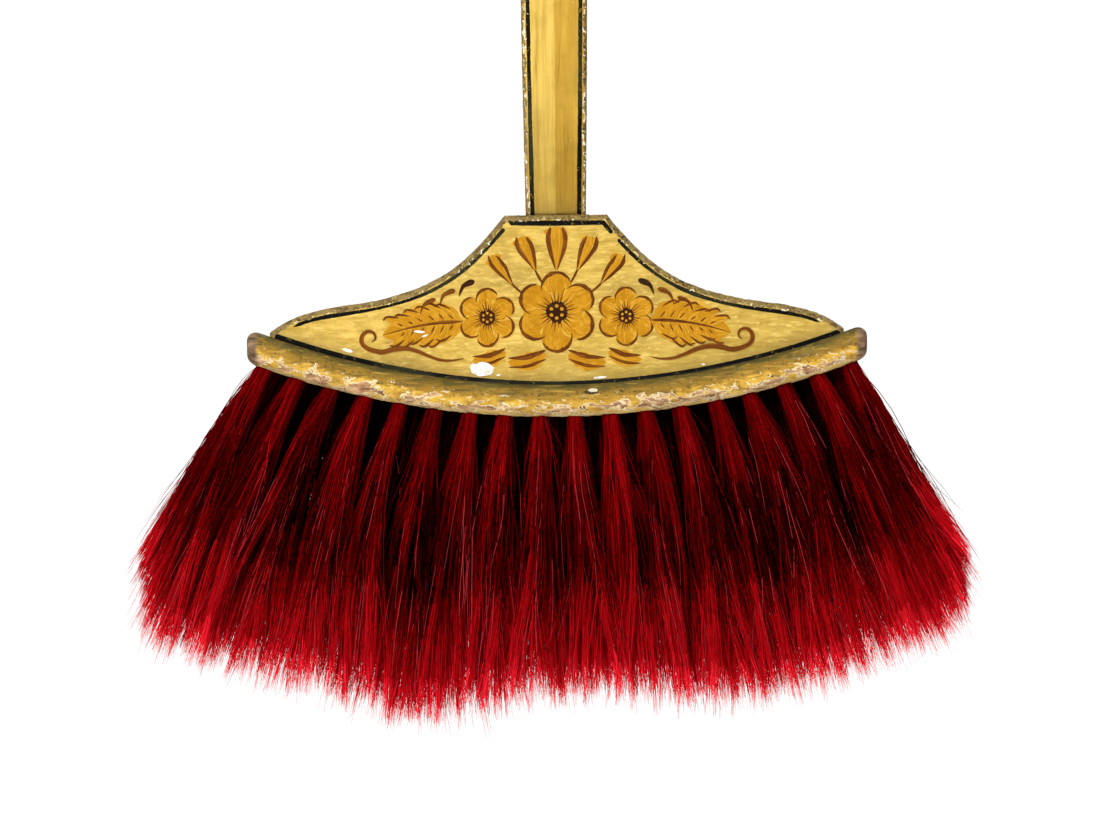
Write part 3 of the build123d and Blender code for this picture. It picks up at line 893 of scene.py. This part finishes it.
def build_handle():
    """The flat bar with a low ridge down each face; its top is rounded and drilled."""
    fit = np.polynomial.polynomial.polyfit(*zip(*STATIONS), 4)
    z = np.concatenate([np.arange(0, 930, 1.25), np.linspace(930, LENGTH, 22)])
    section = handle_section()
    k, rows = len(section), len(z)
    verts, edge, inset = [], [], []
    for up, w in zip(z, np.polynomial.polynomial.polyval(z, fit)):
        for f, s, b in section:
            x, y, face = section_point(w, f, s, b)
            crown_z = LENGTH - CROWN + math.sqrt(CROWN**2 - x * x)
            verts.append((x, y, min(up, crown_z)))
            edge.append(min(face, max(crown_z - up, 0.0)) if b == 0 else face)
            inset.append(face if b == 0 else -1.0)
    verts, edge, inset = np.array(verts), np.array(edge), np.array(inset)
    x, y, up = verts.T.copy()
    dents = 0.13 * wobble([up, x * 2, y * 2], 9.0, 21) + 0.06 * wobble([up, x, y], 2.6, 22)
    verts[:, 0] *= 1 + (dents - 0.08) * np.exp(-np.clip(edge, 0, 9) / 1.5) / 13
    verts[:, 1] *= 1 + dents * 0.25 / 7
    top_gap = LENGTH - CROWN + np.sqrt(np.maximum(CROWN**2 - verts[:, 0] ** 2, 0)) - up
    line = handle_stripe(inset, top_gap, up)
    verts[:, 2] += BOARD_TOP
    patches = Patches()
    patches.add(verts, tube_quads(rows, k)[:, [0, 3, 2, 1]], edge=edge, line=line, foot=np.repeat(z, k))
    # the two ends: each point over the front joined to its partner over the back
    half = k // 2
    side_mid = k - 5
    s, shut = (w[:, None] for w in closing(9))
    for row, foot, flip in ((0, 0.0, False), (rows - 1, 900.0, True)):
        near = row * k + (side_mid + np.arange(half)) % k
        far = row * k + (side_mid - 1 - np.arange(half)) % k
        gap = np.abs(verts[near] - verts[far])[:, 1] * np.minimum(s, 1 - s)
        patches.add(verts[near][None] * (1 - s[..., None]) + verts[far][None] * s[..., None],
                    grid_quads(len(s), half, flip), edge=edge[near][None] * (1 - shut) + gap * shut,
                    line=line[near][None] * (1 - shut) - shut, foot=np.full(len(s) * half, foot))
    verts, quads, attributes = patches.joined()
    return drill(verts, quads, {**attributes, "quirk": np.full(len(verts), -3.0)})


def drill_tool(sides=48):
    """A closed cylinder through the place of the hanging hole."""
    a = np.linspace(0, 2 * math.pi, sides + 1)[:-1]
    ring = np.stack([HOLE_R * np.cos(a), np.zeros(sides), HOLE_Z + HOLE_R * np.sin(a)], -1)
    bm = bmesh.new()
    near, far = [[bm.verts.new(Vector(p + (0, y, 0)) * MM) for p in ring] for y in (-15, 15)]
    bm.faces.new(near)
    bm.faces.new(far[::-1])
    for i in range(sides):
        bm.faces.new((near[i], far[i], far[(i + 1) % sides], near[(i + 1) % sides]))
    bmesh.ops.recalc_face_normals(bm, faces=bm.faces)
    mesh = bpy.data.meshes.new("drill")
    bm.to_mesh(mesh)
    bm.free()
    return link("drill", mesh)


def drill(verts, faces, attributes):
    """Cuts the hanging hole through the bar, and gives the cut mesh the attributes of the whole one."""
    whole = make_mesh("whole_handle", verts, faces, [])
    merge_seams(whole)
    tool = drill_tool()
    cut = whole.modifiers.new("hole", "BOOLEAN")
    cut.operation, cut.solver, cut.object = "DIFFERENCE", "EXACT", tool
    mesh = bpy.data.meshes.new_from_object(whole.evaluated_get(bpy.context.evaluated_depsgraph_get()))
    bpy.data.objects.remove(tool)
    bpy.data.objects.remove(whole)
    co = coordinates(mesh)
    tree = KDTree(len(verts))
    for i, v in enumerate(verts):
        tree.insert(v, i)
    tree.balance()
    source = np.array([tree.find(v)[1] for v in co])
    gap = np.hypot(co[:, 0], co[:, 2] - HOLE_Z) - HOLE_R
    for key, values in attributes.items():
        values = values[source]
        if key == "edge":
            values = np.minimum(values, np.where(gap < 0.01, -0.5, gap * 0.8))
        mesh.attributes.new(key, "FLOAT", "POINT").data.foreach_set("value", values.astype(np.float32))
    mesh.materials.clear()
    mesh.materials.append(handle_paint)
    # the hole's two rims stay crisp
    ends = np.empty(len(mesh.edges) * 2, np.int32)
    mesh.edges.foreach_get("vertices", ends)
    ends = ends.reshape(-1, 2)
    rims = (np.abs(gap) < 0.02)[ends].all(1) & (np.abs(co[ends[:, 0], 1] - co[ends[:, 1], 1]) < 1.0)
    mesh.attributes.new("sharp_edge", "BOOLEAN", "EDGE").data.foreach_set("value", rims)
    mesh.polygons.foreach_set("use_smooth", np.full(len(mesh.polygons), True))
    mesh.polygons.foreach_set("material_index", np.zeros(len(mesh.polygons), np.int32))
    return link("painted_handle", mesh)


handle = build_handle()
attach(handle, "root")
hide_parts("handle")


# ------------------------------------------------------------------ hair
# one red in lit and shaded copies, from painted shade in the deepest red to painted light in the palest, and
# last a greyer painted highlight for hairs that catch the light
PAINTED_HAIR_SHADES = [
    (0.004, 0.0001, 0.0001), (0.016, 0.0001, 0.0002), (0.046, 0.0002, 0.0003), (0.105, 0.0004, 0.0007),
    (0.180, 0.0009, 0.0015), (0.300, 0.0018, 0.0034), (0.500, 0.0040, 0.0085), (1.000, 0.0180, 0.0380),
    (0.520, 0.0420, 0.0580),
]
painted_hair_shades = [plain(f"hair_{i}", c, 0.6, 0.0) for i, c in enumerate(PAINTED_HAIR_SHADES)]
# the rings of a hair's tube, from root to tip
ALONG = np.array([0, 0.012, 0.035, 0.09, 0.18, 0.29, 0.40, 0.52, 0.64, 0.76, 0.88, 1.0])
T = ALONG[None, :, None]
# how far past the trim line the longest hairs reach, by the knot's angle along the rail
REACH_AT = ([-20, -14, -11, -7, -3, 0, 3, 7, 11, 14, 20], [12, 12, 12.5, 20, 8.5, 5.5, 5, 12, 15, 12, 7.5])
CLUMPS, POINTS = 13, 4  # clumps in a knot, and points in which each clump ends
BUTT_R = 2.95
SPREAD = np.array([11.6, 9.8])  # how far the tips spread, along the rail and in depth
SINK = 1.2  # how deep in its hole the free hair starts
STRAY = 0.20  # the share of hairs that stray across the rest


def outward(angle):
    a = math.radians(angle)
    return np.array([math.sin(a), 0.0, -math.cos(a)])


def disc(r, n):
    rad, phi = np.sqrt(r.uniform(0, 1, n)), r.uniform(0, 2 * math.pi, n)
    return np.stack([rad * np.cos(phi), rad * np.sin(phi)], -1)


def unit(vectors):
    return vectors / np.linalg.norm(vectors, axis=-1, keepdims=True)


class Knot:
    """One knot's free hair: strands in loose clumps that part, cross and end in ragged points. It is made in
    steps that each draw from the knot's own random numbers, so their order matters."""

    def __init__(self, angle, side, strands, seed):
        self.angle, self.side, self.n, self.seed = angle, side, strands, seed
        self.r = np.random.default_rng(seed)
        self.hand = np.sign(angle)
        self.out = np.clip((abs(angle) - 14.0) / 5.5, 0, 1)
        self.end = np.clip((abs(angle) - 15.0) / 4.0, 0, 1)
        self.longest = HAIR + np.interp(angle, *REACH_AT) - (0.0 if side < 0 else 5.0)
        self.clump()
        self.spread()
        self.fan_out()
        self.stray()
        self.trim()

    def clump(self):
        """Where each clump leaves the knot and ends, how it bends and weaves, and which hairs are in it."""
        r, n = self.r, self.n
        start = disc(r, CLUMPS)
        rank = np.argsort(np.argsort(start[:, 0]))
        tip = np.stack([(rank + r.uniform(0, 1, CLUMPS)) / CLUMPS * 2.0 - 1.0,
                        start[:, 1] + r.normal(0, 0.25, CLUMPS)], -1)
        tip[:, 0] += r.normal(0, 0.42, CLUMPS) + r.normal(0, 0.08)
        bow = r.normal(0, 1.0, (CLUMPS, 2)) * np.array([2.1, 1.3])
        if self.end > 0:
            tip[:, 0] = np.clip(tip[:, 0], -0.95, 0.95)
            bow[:, 0] = np.clip(bow[:, 0], -1.0, 1.0)
        clump_less = np.abs(r.normal(0, 3.2, CLUMPS))
        # each clump weaves sideways and in and out of its neighbours on the way down
        turns = r.uniform(0.6, 1.5, (CLUMPS, 2, 1)) * ALONG + r.uniform(0, 1, (CLUMPS, 2, 1))
        weave = np.sin(2 * np.pi * turns) * np.clip(ALONG * 3, 0, 1)
        size = r.uniform(1.2, 2.6, CLUMPS)
        own = r.choice(CLUMPS, n, p=(size / size.sum()))
        # points into which each clump gathers at its tips
        points = disc(r, CLUMPS * POINTS).reshape(CLUMPS, POINTS, 2)
        point_less = np.abs(r.normal(0, 3.0, (CLUMPS, POINTS)))
        at_point = r.integers(0, POINTS, n)
        self.off = disc(r, n)
        root = start[own] * 0.62 + self.off * 0.42
        root /= np.maximum(1.0, np.linalg.norm(root, axis=1, keepdims=True))
        self.tip = tip[own] * SPREAD
        # some hairs belong to no clump and fill between them
        free = r.uniform(0, 1, n) < (0.14 if self.side else 0.35) + 0.30 * self.end
        loose = disc(r, n)
        root[free] = loose[free]
        self.tip[free] = loose[free] * SPREAD * np.array([1.0, 0.8])
        self.root, self.own, self.weave, self.bow = root, own, weave[own], bow[own]
        self.tip_out, self.size, self.point = tip[own, 1], size[own], points[own, at_point]
        self.less = clump_less[own] * 0.8 + point_less[own, at_point]

    def spread(self):
        """Runs each hair from its root to its tip with its clump; the middle row spreads at once."""
        if self.side:
            swell, f = 0.55, 0.50 * T + 0.50 * T**1.8
        else:
            swell, f = 1.45, 0.05 * (1 - np.exp(-T / 0.01)) + 0.40 * T + 0.55 * (1 - (1 - T) ** 2.8)
        gather = 0.90 * np.clip((T - 0.58) / 0.38, 0, 1) ** 1.2
        size = (self.size * self.r.normal(1, 0.08, self.n))[:, None, None] * (0.25 + 0.95 * T)
        inside = (self.off[:, None] * (1 - gather) + self.point[:, None] * gather) * size
        root = self.root * BUTT_R
        path = root[:, None] * (1 - f) + self.tip[:, None] * f + inside * np.clip(T * 5, 0, 1)
        # the knot swells as it leaves the rail
        puff = self.root[:, None] * swell * np.exp(-T / 0.22)
        path[..., 0] += puff[..., 0]
        if self.side == 0:
            path[..., 1] += 0.9 * puff[..., 1]
        path = path + self.bow[:, None] * np.sin(np.pi * T) * np.clip(0.4 + T, 0, 1)
        self.path = path + self.weave.transpose(0, 2, 1) * np.array([1.3, 1.9])

    def fan_out(self):
        """The knots leave the rail spread wide and then droop a little; the end knots fan out."""
        hand, out, left = self.hand, self.out, self.angle < 0
        x, y = self.path[..., 0], self.path[..., 1]
        x += 5.4 * self.angle / 20.0 * (1 - (0.45 if left else 0.9) * out) * np.sin(np.pi * ALONG**0.85)
        outer = np.clip(self.tip[:, :1] / SPREAD[0] * hand + 0.5, 0, 1.5)
        x += hand * out * outer * (7.0 if left else 3.0) * ALONG
        x += 4.0 * np.clip((abs(self.angle) - 8.0) / 10.0, 0, 1) * hand * ALONG**2
        # the last knots of each row spread towards the rail's ends and fill between the rows there
        if self.side == 0:
            outwards = np.clip(self.root[:, :1] * hand + 0.3, 0, 1)
            x += hand * out * outwards * 8.0 * (1 - np.exp(-ALONG / 0.06))
            y *= 1 + 0.5 * out
        else:
            inwards = np.clip(-self.root[:, 1:] * self.side, 0, 1)
            y -= self.side * out * inwards * 5.0 * (1 - np.exp(-ALONG / 0.07))

    def stray(self):
        """Each hair's own bend, with some that stray across the face of the rest."""
        r, n, out = self.r, self.n, self.out
        self.kind = kind = r.uniform(0, 1, n)
        strays = kind < STRAY
        amp = np.where(kind < 0.012, 6.5 - 4.5 * out, np.where(strays, 3.6 - 1.8 * out, 0.4))[:, None, None]
        swerve, sway = r.normal(0, 1, (n, 1, 2)), r.normal(0, 1, (n, 1, 2))
        self.path = self.path + swerve * amp * T**1.4 + sway * amp * 0.6 * np.sin(np.pi * T)
        self.path[..., 1] += self.side * np.where(strays, 1.6, 0.0)[:, None] * np.sin(np.pi * ALONG)
        # at both ends of the head loose hairs stick out sideways
        self.sideways = np.random.default_rng(self.seed + 900).gamma(1.3, 2.6, n)
        self.path[..., 0] += self.hand * out * np.where(kind < 0.16, self.sideways, 0.0)[:, None] * ALONG**2.2

    def trim(self):
        """Each hair's length: few reach the longest tips, and the outer ones of each point fall shorter."""
        r, n, kind, longest = self.r, self.n, self.kind, self.longest
        less = self.less + 5.0 * np.linalg.norm(self.off, axis=1) ** 2 * r.uniform(0, 1, n)
        less += np.where(r.uniform(0, 1, n) < 0.66, r.gamma(1.8, 5.5, n), r.gamma(2.0, 15.0, n))
        length = np.clip(longest - less + np.where(kind < 0.010, 3.0, 0.0), 45, longest + 2)[:, None, None]
        self.down = -SINK + (length + SINK) * T
        # the axes of the knot: down its lean, along the rail and in depth
        lean = math.radians(self.side * LEAN)
        d = outward(self.angle * SPLAY) * math.cos(lean) + np.array([0, math.sin(lean), 0])
        across = unit(np.cross(d, [0, 1, 0]))
        across = -across if across[0] < 0 else across
        depth = np.cross(d, across)
        depth = -depth if depth[1] < 0 else depth
        mouth = np.array([0, 0, ARC_Z]) + outward(self.angle) * R_FOOT + np.array([0, self.side * ROW_Y, 0])
        widen = 1 + (length / HAIR - 1) * T
        P = mouth + d * self.down + across * self.path[..., :1] * widen + depth * self.path[..., 1:] * widen
        # the brush is no deeper than about 37 mm to each side
        y = np.abs(P[..., 1])
        P[..., 1] = np.where(y > 30, np.sign(P[..., 1]) * (30 + 7 * np.tanh((y - 30) / 7)), P[..., 1])
        self.P = P
        if self.out > 0:
            self.wear_back()

    def wear_back(self):
        """Shortens hairs that would reach past the head's widest points."""
        most = 172.5 if self.angle < 0 else 168.5
        widest = most - 0.6 * self.sideways + np.where(self.kind < 0.05, 5.0, 0.0)
        past = np.abs(self.P[..., 0]) - widest[:, None]
        for i in np.nonzero(past[:, -1] > 0)[0]:
            cut = np.interp(0.0, past[i], ALONG)
            self.P[i] = np.stack([np.interp(ALONG * cut, ALONG, self.P[i, :, k]) for k in range(3)], -1)

    def tubes(self):
        """A three-sided tube along each hair, thinner at its tip."""
        r, n, P = self.r, self.n, self.P
        self.spark = (self.kind < STRAY) & (r.uniform(0, 1, n) < 0.2)
        width = (r.uniform(0.095, 0.15, n) * np.where(self.spark, 0.7, 1.0))[:, None]
        width = width * (1.0 if self.side else 1.45)
        radius = width * np.interp(ALONG, [0, 0.76, 0.88, 1.0], [1.0, 1.0, 0.86, 0.38])[None]
        tangent = unit(np.gradient(P, axis=1))
        n1 = unit(np.cross(tangent, np.array([0.31, 0.9, 0.22])))
        n2 = np.cross(tangent, n1)
        spin = r.uniform(0, 2 * math.pi, n)[:, None, None]
        turns = [spin + k * 2 * math.pi / 3 for k in range(3)]
        verts = np.stack([P + (n1 * np.cos(a) + n2 * np.sin(a)) * radius[..., None] for a in turns], 2)
        quads = np.arange(n)[:, None, None] * len(ALONG) * 3 + tube_quads(len(ALONG), 3)
        return verts.reshape(-1, 3), quads.reshape(-1, 4)

    def shades(self):
        """Each segment's shade, painted light and shade on the hair's one red: by height on the tuft, by clump,
        by hair, by streaks that run over neighbouring knots, and painted shade by how far inside the tuft it
        lies."""
        r, n, side = self.r, self.n, self.side
        height = (self.down[:, :-1, 0] + self.down[:, 1:, 0]) / 2 + (127.0 - self.longest)
        # painted light and shade by height: painted highlights near the root, painted shade down the middle,
        # painted light towards the tips
        marks = [0, 14, 34, 62, 84, 98, 112, 125]
        painted_light_by_height = np.interp(height, marks, [4.5, 3.8, 2.2, 2.1, 4.8, 5.8, 6.4, 7.4]) + r.normal(0, 0.25)
        open_side = (self.end * np.clip(0.7 + self.root[:, 0] * self.hand, 0, 1))[:, None]
        level = painted_light_by_height
        # painted shade: the middle row, hidden between the other two, is near black at its roots
        if side == 0:
            painted_shade_middle_row = np.interp(height, marks, [0.0, 0.0, 0.3, 1.2, 4.1, 5.4, 6.4, 7.4])
            level = painted_shade_middle_row * (1 - open_side) + painted_light_by_height * open_side
        level = level + r.normal(0, 0.7, n)[:, None] + np.where(self.kind < STRAY, 0.5, 0.0)[:, None]
        level = level + r.normal(0, 0.45, CLUMPS)[self.own][:, None]
        # painted shade where a clump weaves in behind its neighbours
        painted_shade_dive = (self.weave[:, 1, :-1] + self.weave[:, 1, 1:]) * (0.45 if side <= 0 else -0.45)
        level = level - painted_shade_dive * np.interp(height, [0, 20, 70, 105], [0.3, 1.4, 1.4, 0.4])
        # painted light and shade in streaks, and painted shadow in the dark gaps between clumps
        middle = (self.P[:, :-1] + self.P[:, 1:]) / 2
        swing = np.arctan2(middle[..., 0], ARC_Z - middle[..., 2]) * 430
        radius = np.hypot(middle[..., 0], ARC_Z - middle[..., 2])
        streak = wobble([swing, radius * 0.12, middle[..., 1] * 0.5], 2.7, 77)
        level = level + streak * np.interp(height, [0, 25, 60, 90, 108], [0.2, 0.8, 1.1, 0.5, 0.2])
        dark = 3.4 * np.clip(-streak - 0.75, 0, 1)
        level = level - dark * np.interp(height, [6, 22, 74, 92], [0, 1, 1, 0])
        # painted shade over the upper hair, deeper towards the rail's ends
        towards_end = np.clip((abs(self.angle) - 7.0) / 5.0, 0, 1)
        level = level - (0.3 + 0.8 * towards_end) * np.interp(height, [70, 100], [1, 0])
        palest = np.interp(height, [0, 60, 84, 100, 108, 116], [4.7, 4.3, 5.3, 5.9, 6.4, 7.2])
        level = np.minimum(level, palest)
        # painted shade deeper inside the tuft, and on the flanks of each knot near the rail
        face_out = -self.tip_out * 0.7 - self.off[:, 1] * 0.5
        inner = np.clip(-face_out if side <= 0 else face_out, -1, 1)[:, None]
        level = level - inner * np.interp(height, [0, 30, 80, 110], [0.6, 1.5, 1.1, 0.2])
        flank = np.abs(self.root[:, 0])[:, None] ** 2
        level = level - flank * np.interp(height, [0, 45], [1.0, 0.0]) * (1 - open_side)
        # painted light towards the tips, where the hair lets light through, and on the open outer side of the
        # end knots
        level = np.maximum(level, np.interp(height, [62, 84, 104, 114], [0.0, 3.4, 5.6, 7.0]))
        level = np.maximum(level, 3.1 * open_side)
        shade = np.clip(np.round(level), 0, 7).astype(int)
        lit = self.spark[:, None] & (np.abs(height - r.uniform(20, 110, n)[:, None]) < 22) & (shade > 1)
        return np.repeat(np.where(lit, 8, shade), 3)


def build_tuft(name, angle, side, strands, seed):
    knot = Knot(angle, side, strands, seed)
    verts, quads = knot.tubes()
    return make_mesh(name, verts, quads, painted_hair_shades, knot.shades())


seed = 100
for row, side, count, strands in (("front", -1, 18, 600), ("middle", 0, 17, 440), ("back", 1, 18, 440)):
    for i in range(count):
        angle = (i - (count - 1) / 2) * PITCH
        node = f"{row}_tuft_{i + 1:02d}"
        seed += 1
        full = 1.0 + 0.5 * max(0.0, abs(angle) - 14.0) / 5.5
        tuft = build_tuft(f"hair_{node}", angle, side, int(strands * full), seed)
        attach(tuft, "root")
        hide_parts(node)

# ------------------------------------------------------------------ carried-over CAD pieces
steel = Nodes("aged_steel", 0.45, 0.5)
steel.bsdf.inputs["Metallic"].default_value = 0.9
rust = steel.noise(steel.place(), 1.4, 4.0, 0.6)
tarnish = [(0.35, (0.22, 0.20, 0.18)), (0.55, (0.32, 0.29, 0.25)), (0.72, (0.20, 0.09, 0.04))]
steel.finish(steel.ramp(rust, tarnish), steel.plus(0.3, steel.times(rust, 0.4)), rust, 0.1)
thread = Nodes("linen_thread", 0.8, 0.3)
twist = thread.add("ShaderNodeTexWave", {"Vector": thread.place(), "Scale": 0.9, "Distortion": 1.5})
thread.finish(thread.ramp(twist.outputs["Fac"], [(0.2, (0.30, 0.24, 0.15)), (0.8, (0.60, 0.52, 0.37))]),
              0.8, twist.outputs["Fac"], 0.2)
pitch_mat = Nodes("brush_pitch", 0.3, 0.5)
lump = pitch_mat.noise(pitch_mat.place(), 1.2, 3.0)
pitch_mat.finish(pitch_mat.ramp(lump, [(0.3, (0.012, 0.009, 0.006)), (0.7, (0.05, 0.03, 0.015))]),
                 pitch_mat.plus(0.2, pitch_mat.times(lump, 0.4)), lump, 0.2)
for node, material in (("rail_screws", steel.mat), ("tenon_screws", steel.mat), ("knot_bindings", thread.mat),
                       ("pitch_plugs", pitch_mat.mat)):
    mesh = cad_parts[node].data
    mesh.materials.clear()
    mesh.materials.append(material)

# ------------------------------------------------------------------ camera, floor and light
VIEW_WIDTH = 451.3
DISTANCE = 2400.0
SENSOR = 36
ROLL = math.radians(0.5)
FLOOR_Z = -0.36  # in metres, like the lights' places
cam = bpy.data.cameras.new("camera")
cam.sensor_width = SENSOR
cam.lens = SENSOR * DISTANCE / VIEW_WIDTH
cam.clip_end = 100
camera = link("camera", cam)
aim = Vector((-3.1, -BOARD_HALF, BOARD_TOP - 81.2)) * MM
camera.matrix_world = (
    Matrix.Translation(aim + Vector((0, -DISTANCE, 0)) * MM)
    @ Matrix.Rotation(ROLL, 4, "Y")
    @ Matrix.Rotation(math.radians(90), 4, "X")
)
bpy.context.scene.camera = camera

bpy.ops.mesh.primitive_plane_add(size=5.6, location=(0, 0, FLOOR_Z))
floor = bpy.context.object
floor.name = "floor"
floor_mat = Nodes("pale_floor", 0.7, 0.2)
cloud = floor_mat.noise(floor_mat.place(), 260.0, 3.0)
floor_mat.finish(floor_mat.ramp(cloud, [(0.3, (0.90, 0.90, 0.89)), (0.7, (0.93, 0.93, 0.92))]))
# the floor thins out into the white surround before its edge
far = floor_mat.add("ShaderNodeVectorMath", {0: floor_mat.place()}, operation="LENGTH").outputs["Value"]
floor_mat.put(floor_mat.bsdf.inputs["Alpha"], floor_mat.inverse(floor_mat.step(far, 1200.0, 2750.0)))
floor.data.materials.append(floor_mat.mat)

world = bpy.data.worlds.new("studio")
bpy.context.scene.world = world
world.use_nodes = True
w = world.node_tree
background = w.nodes["Background"]
background.inputs["Color"].default_value = (1, 1, 1, 1)
path = w.nodes.new("ShaderNodeLightPath")
level = w.nodes.new("ShaderNodeMapRange")
w.links.new(path.outputs["Is Camera Ray"], level.inputs["Value"])
level.inputs["To Min"].default_value = 0.24
level.inputs["To Max"].default_value = 1.05
w.links.new(level.outputs["Result"], background.inputs["Strength"])


def area_light(name, at, to, size, watts, colour=(1, 1, 1)):
    data = bpy.data.lights.new(name, "AREA")
    data.shape = "DISK"
    data.size = size
    data.energy = watts
    data.color = colour
    o = link(name, data)
    o.location = at
    o.rotation_euler = (Vector(to) - Vector(at)).to_track_quat("-Z", "Y").to_euler()


area_light("key", (-1.0, -1.9, 1.5), (0, 0, 0.2), 0.55, 63, (1.0, 0.985, 0.96))
area_light("fill", (1.6, -1.6, 0.6), (0, 0, 0.3), 1.2, 8)
area_light("rear", (1.1, 2.0, 1.4), (0, 0, 0.4), 1.0, 50)
# an even light from straight above keeps the floor pale out to its far edge
data = bpy.data.lights.new("overhead", "SUN")
data.energy = 0.9
data.angle = math.radians(60)
link("overhead", data)

bpy.context.scene.view_settings.view_transform = "Standard"
